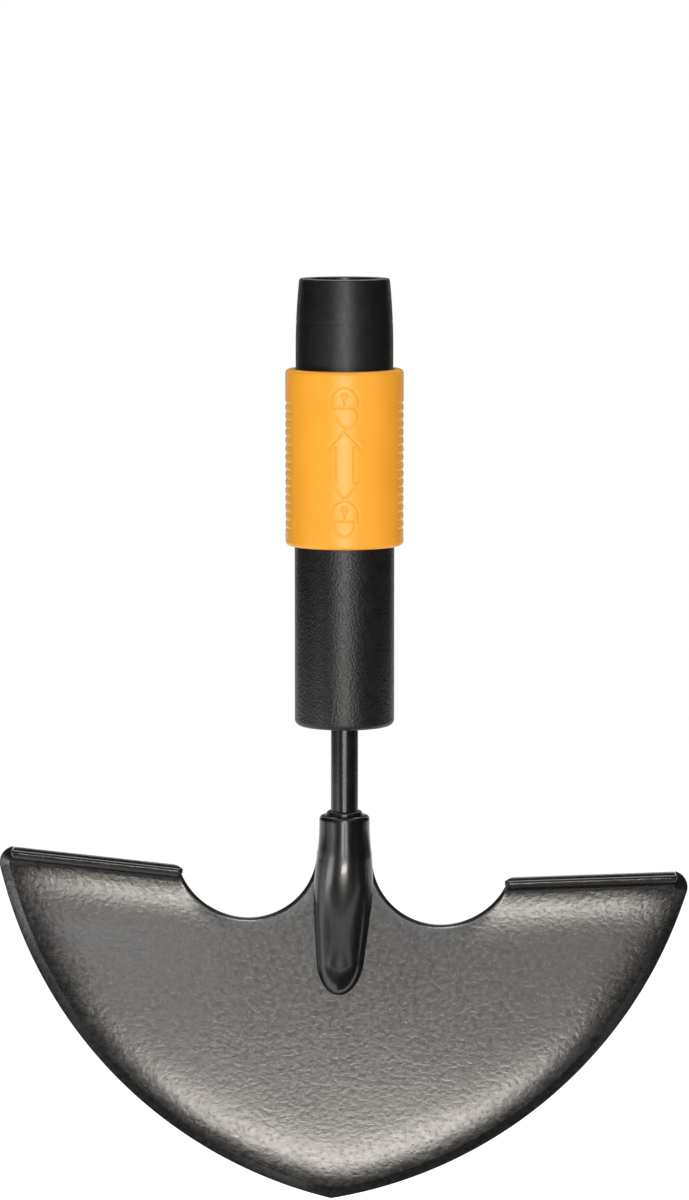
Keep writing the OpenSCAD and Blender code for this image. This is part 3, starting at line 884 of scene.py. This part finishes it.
def right_outline():
    """Right half of the sheet laid flat, from the tip to the neck, with its edge's rounding and reach."""
    runs = []

    def add(points, rounding, spread=1.0):
        """One more run of points, whose rounding reaches further in where it is spread."""
        reach = rounding * np.broadcast_to(spread, len(points))
        runs.append(np.column_stack([points, np.full(len(points), rounding), reach]))

    nose_outer, nose_inner = 1.0, 1.8
    upright = math.pi / 2 + TREAD_FALL

    # Cutting edge, corner and slit
    add(around(EDGE_CENTRE, EDGE_R, TIP_ANGLE, CORNER_ANGLE, steps=150), EDGE_ROUND)
    corner_end = upright - math.asin((SLIT + TREAD_OVER) / CORNER_R)
    corner = around(CORNER, CORNER_R, CORNER_ANGLE, corner_end, steps=24)
    add(corner[1:], EDGE_ROUND)
    add(np.linspace(corner[-1], tread_point(TREAD_END + SLIT, SLIT_RISE), 6)[1:], EDGE_ROUND)
    slit_points = 6
    side_low, side_top = (tread_point(TREAD_END, rise) for rise in (SLIT_RISE, TREAD_RISE - nose_outer))
    side = np.linspace(side_low, side_top, 16)
    add(side[:slit_points], EDGE_ROUND)
    add(side[slit_points:], FREE_ROUND)

    # Nose of the tread, and its inner end
    cut_angle, cut_start = cutout_side(TREAD_DROP - CUT_RISE)
    bend_start = cutout_side(TREAD_DROP + BEND_DROP)[1]
    inner_end = (bend_start - LINE_START) @ ALONG + END_SET
    nose_start, nose_end = TREAD_END - nose_outer, inner_end + nose_inner
    turn = around(tread_point(nose_start, TREAD_RISE - nose_outer), nose_outer, TREAD_FALL, upright, steps=5)
    add(turn[1:], NOSE_ROUND)
    nose = np.linspace(tread_point(nose_start, TREAD_RISE), tread_point(nose_end, TREAD_RISE), 30)
    add(nose[1:-1], NOSE_ROUND)
    turn_centre = tread_point(nose_end, TREAD_RISE - nose_inner)
    add(around(turn_centre, nose_inner, upright, math.pi + TREAD_FALL, steps=6), NOSE_ROUND)
    add(np.linspace(tread_point(inner_end, TREAD_RISE - nose_inner), cut_start, 14)[1:-1], FREE_ROUND)

    # Cut-out, whose rim rolls over ever wider away from the tread, and neck
    cut_steps, grow_steps = 30, 12
    spread = 1 + (RIM_SPREAD - 1) * smooth(np.arange(cut_steps + 1) / grow_steps)
    centre, outer_radii = (CUTOUT_X, 0), (CUTOUT_OUT_R, CUTOUT_R)
    add(around(centre, outer_radii, cut_angle, -math.pi / 2, cut_steps), FREE_ROUND, spread)
    add(around(centre, CUTOUT_R, -math.pi / 2, -math.pi, steps=40)[1:], FREE_ROUND, RIM_SPREAD)
    add(around((0, 0), (NECK_R, NECK_DOME), 0, math.pi / 2, steps=12)[1:], FREE_ROUND, RIM_SPREAD)
    return np.concatenate(runs)


def sheet_outline():
    """Whole outline of the sheet laid flat, anticlockwise from the tip."""
    right = right_outline()
    left = right[1:-1][::-1] * np.array([-1, 1, 1, 1])
    return np.concatenate([right, left])


def on_right(points):
    """Flat points of either half, carried to the right half."""
    return np.stack([np.abs(points[:, 0]), points[:, 1]], 1)


def bend_rise(points):
    """Height of flat points of the right half above the start of the bend."""
    return (points - LINE_START) @ UP + BEND_DROP


def edge_distance(points):
    """Distance of flat points from the cutting edges, rounded where these meet."""
    blend = 4.0
    sides = []
    for sign in (1, -1):
        p = points * np.array([sign, 1])
        distance = EDGE_R - np.linalg.norm(p - EDGE_CENTRE, axis=1)
        rel = p - CORNER
        angle = np.arctan2(rel[:, 1], rel[:, 0])
        in_corner = (angle > CORNER_ANGLE) & (angle < math.pi / 2 + TREAD_FALL)
        sides.append(np.where(in_corner, CORNER_R - np.linalg.norm(rel, axis=1), distance))
    a, b = sides
    mix = np.clip(blend - np.abs(a - b), 0, None) / blend
    return np.minimum(a, b) - mix * mix * blend / 4 * (np.maximum(a, b) > 0)


def grind_depth(points):
    """How far bevel and roll-off take the front face back."""
    d = edge_distance(points)
    below = -bend_rise(on_right(points))
    rolled = ROLL_DEPTH * (ROLL_END + (1 - ROLL_END) * smooth(below / ROLL_TAPER))
    deepest = rolled + SHEET - EDGE_LAND - ROLL_DEPTH
    bevel = deepest + (rolled - deepest) * d / BEVEL_W
    roll = rolled * np.clip(1 - (d - BEVEL_W) / ROLL_W, 0, 1) ** ROLL_POWER
    return np.where(d < BEVEL_W, np.minimum(bevel, deepest), roll)


def bevel_line(target, steps):
    """Right half of the line at a distance from the cutting edges, from the middle to the corner."""
    past_tip, search, halvings, middle_gap = 0.03, 4 * BEVEL_W, 40, 0.4
    angles = np.linspace(TIP_ANGLE - past_tip, CORNER_ANGLE, steps)
    directions = np.stack([np.cos(angles), np.sin(angles)], 1)
    near, far = np.full(steps, EDGE_R - search - target), np.full(steps, float(EDGE_R))
    for _ in range(halvings):
        middle = (near + far) / 2
        within = edge_distance(EDGE_CENTRE + directions * middle[:, None]) > target
        near, far = np.where(within, middle, near), np.where(within, far, middle)
    line = EDGE_CENTRE + directions * near[:, None]
    return line[line[:, 0] > middle_gap]


def is_bent(points):
    """Whether flat points belong to a tread, beyond its bend."""
    right = on_right(points)
    along = (right - LINE_START) @ ALONG
    return (bend_rise(right) > 0) & (along < TREAD_END + SLIT / 2) & (right[:, 0] > CUTOUT_X)


def fold(points, depth, bent):
    """Flat points at a depth behind the front face, with the treads bent forward, in the shared frame."""
    right = on_right(points)
    rise = bend_rise(right)

    # Way along the bent mid line, and straight on past its start beside a tread
    way = np.where(bent, rise, np.minimum(rise, 0))
    past = np.where(bent, 0, np.maximum(rise, 0))
    turn = np.interp(way, BEND_WAY, BEND_TURN)
    behind = depth - SHEET / 2
    lift = np.interp(way, BEND_WAY, BEND_UP) + past * np.cos(turn) + behind * np.sin(turn) - rise
    forward = np.interp(way, BEND_WAY, BEND_FORWARD) + past * np.sin(turn) - behind * np.cos(turn)

    # The ease below a tread fades out beside the cut-out
    near = (rise > -EASE_L) & (right[:, 0] > CUTOUT_X)
    share = near * np.where(rise < 0, smooth((right[:, 0] - CUTOUT_X) / EASE_FADE), 1)
    flat = right + (share * lift)[:, None] * UP
    y = BLADE_FRONT / MM + depth + share * (SHEET / 2 - forward - depth)
    x = flat[:, 0] * np.where(points[:, 0] < 0, -1.0, 1.0)
    return np.stack(blade_place(x * MM, y * MM, flat[:, 1] * MM), 1)


def inner_points():
    """Points inside the sheet: along bevel and roll-off, across the bends and treads, and over the face."""
    line_gap, fine_depth, fine_steps, coarse_steps = 0.8, 3, 220, 150
    lines = np.concatenate([
        bevel_line(BEVEL_W + step, fine_steps if step < fine_depth else coarse_steps) for step in ROLL_ROWS
    ])
    beyond = (lines - LINE_START) @ ALONG > TREAD_END
    lines = lines[(bend_rise(lines) < -line_gap) | beyond]

    corner_gap, corner_lines = 0.1, (0, 1.0)
    corner = [
        around(CORNER, CORNER_R - BEVEL_W - step, CORNER_ANGLE + corner_gap, math.pi / 2, steps=12)
        for step in corner_lines
    ]

    row_start, row_step = -2.0, 1.6
    rows = []
    for rise in TREAD_ROWS:
        row = np.array([tread_point(a, rise) for a in np.arange(row_start, TREAD_END, row_step)])
        rows.append(row if rise >= 0 else row[edge_distance(row) > BEVEL_W + line_gap])

    grid_start, grid_end, grid_step, grid_gap, roll_gap = 2, 130, 4.0, 2, 1
    xs, vs = np.meshgrid(np.arange(grid_start, grid_end, grid_step), np.arange(-grid_end, 0, grid_step))
    grid = np.stack([xs.ravel(), vs.ravel()], 1)
    below = bend_rise(grid) < -grid_gap
    beside = np.hypot(grid[:, 0] - CUTOUT_X, grid[:, 1]) > CUTOUT_OUT_R + grid_gap
    grid = grid[below & beside & (edge_distance(grid) > BEVEL_W + ROLL_W + roll_gap)]

    right = np.concatenate([lines] + corner + rows + [grid])
    return np.concatenate([right, right * np.array([-1, 1])])


def inside(points, outline):
    """Whether points lie within a closed outline, by counting the edges to their right."""
    odd = np.zeros(len(points), bool)
    for a, b in zip(outline, np.roll(outline, -1, 0)):
        spans = (a[1] > points[:, 1]) != (b[1] > points[:, 1])
        rise = b[1] - a[1] if b[1] != a[1] else 1.0
        odd ^= spans & (points[:, 0] < a[0] + (points[:, 1] - a[1]) * (b[0] - a[0]) / rise)
    return odd


def outward(edge):
    """Unit vectors square to a closed anticlockwise outline, at each of its points."""
    ahead = np.roll(edge, -1, 0) - edge
    behind = edge - np.roll(edge, 1, 0)
    ahead /= np.linalg.norm(ahead, axis=1)[:, None]
    behind /= np.linalg.norm(behind, axis=1)[:, None]
    run = ahead + behind
    out = np.stack([run[:, 1], -run[:, 0]], 1)
    return out / np.linalg.norm(out, axis=1)[:, None]


def flat_triangles(border, spare):
    """Points and triangles within a closed border, and the places of the border's own points."""
    within_border, tolerance = 1, 1e-6
    count = len(border)
    made = geometry.delaunay_2d_cdt(
        [Vector(p) for p in np.concatenate([border, spare])], [], [list(range(count))],
        within_border, tolerance, True,
    )
    points, _, faces, point_sources, _, face_sources = made
    triangles = [tuple(face) for face, sources in zip(faces, face_sources) if sources]
    places = {source: i for i, sources in enumerate(point_sources) for source in sources if source < count}
    return np.array([tuple(p) for p in points]), triangles, np.array([places[i] for i in range(count)])


def blade_sheet():
    """Bent sheet with ground edges, treads and rounded free edges."""
    outline = sheet_outline()
    edge, rounding, reach = outline[:, :2], outline[:, 2], outline[:, 3]
    count = len(edge)
    out = outward(edge)
    inset = edge - reach[:, None] * out

    # Front and back face
    spare = inner_points()
    apart = stroke_distance(spare, [np.vstack([edge, edge[:1]])]) > ROOM
    flat, triangles, rim = flat_triangles(inset, spare[inside(spare, edge) & apart])
    total = len(flat)
    bent, bent_edge = is_bent(flat), is_bent(inset)
    depth = np.where(bent, 0.0, grind_depth(flat))
    points = [fold(flat, depth, bent), fold(flat, np.full(total, SHEET), bent)]
    faces = triangles + [tuple(i + total for i in face[::-1]) for face in triangles]

    # Rounded edge, in rows from the front face to the back face
    steps = 6
    turns = [math.pi / 2 * k / steps for k in range(1, steps + 1)]
    rows = [rim]
    start = 2 * total
    for in_front, order in ((True, turns), (False, turns[::-1])):
        for a in order:
            place = edge + (reach * (math.sin(a) - 1))[:, None] * out
            sink = rounding * (1 - math.cos(a))
            points.append(fold(place, depth[rim] + sink if in_front else SHEET - sink, bent_edge))
            rows.append(np.arange(start, start + count))
            start += count
    rows.append(rim + total)
    for a, b in zip(rows[:-1], rows[1:]):
        faces += [(a[i], a[(i + 1) % count], b[(i + 1) % count], b[i]) for i in range(count)]
    sheet = piece_from("blade_sheet", np.concatenate(points), faces, sharp_angle=40)
    mark_bevel(sheet, flat, bent)
    return sheet


def mark_bevel(sheet, flat, bent):
    """Keeps the line between bevel and face crisp."""
    tolerance = 0.02
    total = len(flat)
    on_line = (np.abs(edge_distance(flat) - BEVEL_W) < tolerance) & ~bent
    for e in sheet.data.edges:
        a, b = e.vertices
        if a < total and b < total and on_line[a] and on_line[b]:
            e.use_edge_sharp = True


# Pieces, each in the place of its solid

stand_for(mouth_ring(), "socket_mouth")
stand_for(sleeve_shell(), "shank_sleeve")
stand_for(bore_tube(), "core_tube")
stand_for(collar_grip(), "lock_collar")
spring = stand_for(coil_spring(), "lock_spring")
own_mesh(spring)
for number in BALLS:
    stand_for(ball(number), f"lock_ball_{number}")
stand_for(tang_bar(), "tang_rod")
stand_for(weld_bead(), "tang_weld")
stand_for(tang_boss(), "tang_socket")
stand_for(blade_sheet(), "blade")


# Studio

FLOOR_DROP = 0.15
FLOOR_Z = cad_bounds[0][2] - FLOOR_DROP
CAMERA_PLACE = (0.0, -1.8, 0.08)
CAMERA_DOWN = math.radians(6.34)
CAMERA_LENS = 145.5
CAMERA_SENSOR = 36
CAMERA_RANGE = (0.05, 50)
WARM = (1, 0.94, 0.87)


def seen_rays(tree):
    """One for rays that show the background, from the camera, off gloss or through glass."""
    path = add_node(tree, "ShaderNodeLightPath")
    total = path.outputs["Is Camera Ray"]
    for kind in ("Is Glossy Ray", "Is Transmission Ray"):
        larger = add_node(tree, "ShaderNodeMath", operation="MAXIMUM")
        tree.links.new(total, larger.inputs[0])
        tree.links.new(path.outputs[kind], larger.inputs[1])
        total = larger.outputs[0]
    return total


def pale(name, level, glow):
    """Pale matt stage colour that shows nearly white to the camera and in reflections."""
    material = bpy.data.materials.new(name)
    material.use_nodes = True
    tree = material.node_tree
    shader = tree.nodes["Principled BSDF"]
    shader.inputs["Base Color"].default_value = grey(level)
    shader.inputs["Roughness"].default_value = 0.9
    shader.inputs["Emission Color"].default_value = grey(1)
    shown = add_node(tree, "ShaderNodeMath", {1: glow}, operation="MULTIPLY")
    tree.links.new(seen_rays(tree), shown.inputs[0])
    tree.links.new(shown.outputs[0], shader.inputs["Emission Strength"])
    return material


def studio_floor():
    """Flat floor, with the white world behind it."""
    front, back, half = -0.36, 2.6, 3.0
    points = [(x, y, FLOOR_Z) for x, y in ((-half, front), (half, front), (half, back), (-half, back))]
    floor = piece_from("studio_floor", points, [(0, 1, 2, 3)])
    floor.data.materials.append(pale("pale_floor", level=0.8, glow=0.71))


def area_light(name, place, aim, size, power, colour=(1, 1, 1), in_gloss=True):
    """Rectangular lamp that faces a point and stays out of the picture."""
    data = bpy.data.lights.new(name, "AREA")
    data.color = colour
    data.shape = "RECTANGLE"
    data.size, data.size_y = size
    data.energy = power
    light = bpy.data.objects.new(name, data)
    light.location = place
    light.rotation_euler = (Vector(aim) - Vector(place)).to_track_quat("-Z", "Y").to_euler()
    light.visible_camera = False
    light.visible_glossy = in_gloss
    bpy.context.scene.collection.objects.link(light)


def studio_world():
    """White to the camera and in reflections, and a soft fill otherwise."""
    world = bpy.data.worlds.new("studio_world")
    bpy.context.scene.world = world
    world.use_nodes = True
    tree = world.node_tree
    background = tree.nodes["Background"]
    background.inputs["Color"].default_value = grey(1)
    strength = add_node(tree, "ShaderNodeMapRange", {"To Min": 0.3, "To Max": 1.0})
    tree.links.new(seen_rays(tree), strength.inputs["Value"])
    tree.links.new(strength.outputs["Result"], background.inputs["Strength"])
    world.cycles.sampling_method = "NONE"


def black_card(name, corners, shades):
    """Black card that shows only in reflections, for the dark parts of black gloss, and may cast a shadow."""
    card = piece_from(name, corners, [(0, 1, 2, 3)])
    material = bpy.data.materials.new(name)
    material.use_nodes = True
    shader = material.node_tree.nodes["Principled BSDF"]
    shader.inputs["Base Color"].default_value = grey(0.002)
    shader.inputs["Specular IOR Level"].default_value = 0.0
    card.data.materials.append(material)
    card.visible_camera = card.visible_diffuse = card.visible_transmission = False
    card.visible_shadow = shades


def flag(name, low, high):
    """Black card square to the axes, between two corners."""
    flat = [low[i] == high[i] for i in range(3)].index(True)
    i, j = [k for k in range(3) if k != flat]
    corners = []
    for a, b in ((low, low), (high, low), (high, high), (low, high)):
        point = list(low)
        point[i], point[j] = a[i], b[j]
        corners.append(point)
    black_card(name, corners, shades=False)


def tread_card(side):
    """Black card before a tread, which shades the bend below it."""
    inner, outer, low, high, front = 52, 150, -20, 50, -120
    corners = []
    for x, v in ((inner, low), (outer, low), (outer, high), (inner, high)):
        v += (x - LINE_START[0]) * math.tan(TREAD_FALL) - TREAD_DROP
        corners.append(blade_place(side * x * MM, front * MM, v * MM))
    black_card("tread_card", corners, shades=True)


def studio_camera():
    """Camera in front and a little above, looking slightly down."""
    data = bpy.data.cameras.new("camera")
    data.lens = CAMERA_LENS
    data.sensor_width = CAMERA_SENSOR
    data.sensor_fit = "AUTO"
    data.clip_start, data.clip_end = CAMERA_RANGE
    camera = bpy.data.objects.new("camera", data)
    camera.location = CAMERA_PLACE
    camera.rotation_euler = (math.pi / 2 - CAMERA_DOWN, 0, 0)
    bpy.context.scene.collection.objects.link(camera)
    bpy.context.scene.camera = camera


studio_floor()
studio_world()
studio_camera()
flag("front_flag", (-2.6, -2.3, -2.0), (2.6, -2.3, 2.0))
flag("left_flag", (-0.5, -0.42, -0.265), (-0.5, 0.7, 0.7))
flag("right_flag", (0.5, -0.42, -0.29), (0.5, 0.7, 0.7))
flag("right_fore_flag", (0.5, -0.42, -0.39), (0.5, 0.0, -0.29))
flag("right_low_flag", (0.5, -0.42, -0.6), (0.5, 0.7, -0.39))
flag("tip_flag", (-0.35, -0.2, -0.42), (0.35, -0.08, -0.42))
flag("toe_flag", (-0.03, -0.08, -0.42), (0.35, -0.02, -0.42))
flag("tread_flag", (-0.22, 0.5, -0.125), (0.22, 0.5, 0.2))
for side in (-1, 1):
    tread_card(side)
area_light("left_fill", (-1.4, -0.9, 0.2), (0, 0, -0.15), (1.0, 1.4), 5.5, in_gloss=False)
area_light("right_fill", (1.4, -0.9, 0.2), (0, 0, -0.15), (1.0, 1.4), 6, in_gloss=False)
area_light("front", (0.0, -1.7, -0.26), (0, 0, -0.26), (0.9, 0.32), 4.4)
area_light("front_high", (0.0, -1.7, 0.22), (0, 0, 0.22), (0.32, 0.5), 9.6)
area_light("face_left", (-0.2, -1.5, -0.47), (-0.2, 0, -0.47), (0.22, 0.1), 0.8)
area_light("face_right", (0.2, -1.5, -0.47), (0.2, 0, -0.47), (0.22, 0.1), 0.5)
area_light("low", (0.0, -1.5, -0.78), (0, 0, -0.78), (0.5, 0.15), 7.4, WARM)
area_light("top", (0.0, 0.35, 0.75), (0, 0, -0.2), (0.6, 0.7), 6)
area_light("left_edge", (-0.53, -0.4, -0.415), (-0.11, 0, -0.27), (0.26, 0.17), 0.7)
bpy.context.scene.view_settings.view_transform = "Standard"
